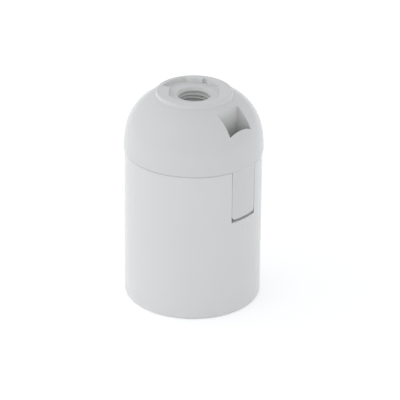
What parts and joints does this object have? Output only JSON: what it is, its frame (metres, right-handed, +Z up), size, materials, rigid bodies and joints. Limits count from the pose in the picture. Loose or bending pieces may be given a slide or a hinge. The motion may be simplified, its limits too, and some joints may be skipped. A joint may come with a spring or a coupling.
{
  "type": "lamp holder",
  "caption": "White thermoplastic E27 lamp holder with a plain barrel, a domed clip-fastened cap and a threaded cable entry.",
  "frame": {"origin": "middle of the mouth's rim, on the axis, where the holder stands", "axes": "+Z up the axis to the cable entry; the cap's two snap tongues lie on +X and -X; the live terminal is on +Y, the neutral one on -Y"},
  "size_m": [0.0406, 0.0406, 0.0641],
  "materials": {
    "white_plastic": "satin, moulded",
    "insert_plastic": "matte, moulded",
    "bronze": "rolled strip",
    "brass": "drawn and stamped",
    "zinc_steel": "zinc plated"
  },
  "bodies": {
    "housing": {"barrel": "white_plastic", "cap": "white_plastic", "contact_insert": "insert_plastic", "live_strap": "brass", "neutral_strap": "brass", "live_rivet": "brass", "neutral_rivet": "brass", "live_terminal": "brass", "neutral_terminal": "brass"},
    "centre_spring": {"centre_contact": "bronze"},
    "side_spring": {"side_contact": "bronze"},
    "live_clamp": {"live_clamp_plate": "zinc_steel"},
    "live_screw": {"live_screw": "zinc_steel"},
    "neutral_clamp": {"neutral_clamp_plate": "zinc_steel"},
    "neutral_screw": {"neutral_screw": "zinc_steel"}
  },
  "joints": [
    {"name": "centre_contact_press", "type": "hinge", "parent": "housing", "child": "centre_spring", "pos_m": [0, 0.0124, 0.0287], "axis": [-1, 0, 0], "range_deg": [0, 6.5], "stiffness_Nm_per_rad": 0.3},
    {"name": "side_contact_press", "type": "hinge", "parent": "housing", "child": "side_spring", "pos_m": [0, -0.0128, 0.0289], "axis": [-1, 0, 0], "range_deg": [0, 5], "stiffness_Nm_per_rad": 0.2},
    {"name": "live_clamp_lower", "type": "slide", "parent": "housing", "child": "live_clamp", "axis": [0, 0, 1], "range_m": [-0.0021, 0]},
    {"name": "live_screw_turn", "type": "hinge", "parent": "live_clamp", "child": "live_screw", "pos_m": [0, 0.0084, 0.0445], "axis": [0, 0, 1], "range_deg": [-1260.01, 0]},
    {"name": "neutral_clamp_lower", "type": "slide", "parent": "housing", "child": "neutral_clamp", "axis": [0, 0, 1], "range_m": [-0.0021, 0]},
    {"name": "neutral_screw_turn", "type": "hinge", "parent": "neutral_clamp", "child": "neutral_screw", "pos_m": [0, -0.0084, 0.0445], "axis": [0, 0, 1], "range_deg": [-1260.01, 0]}
  ],
  "couplings": [
    {"joint": "live_screw_turn", "follows": "live_clamp_lower", "rad_per_m": 10472},
    {"joint": "neutral_screw_turn", "follows": "neutral_clamp_lower", "rad_per_m": 10472}
  ]
}
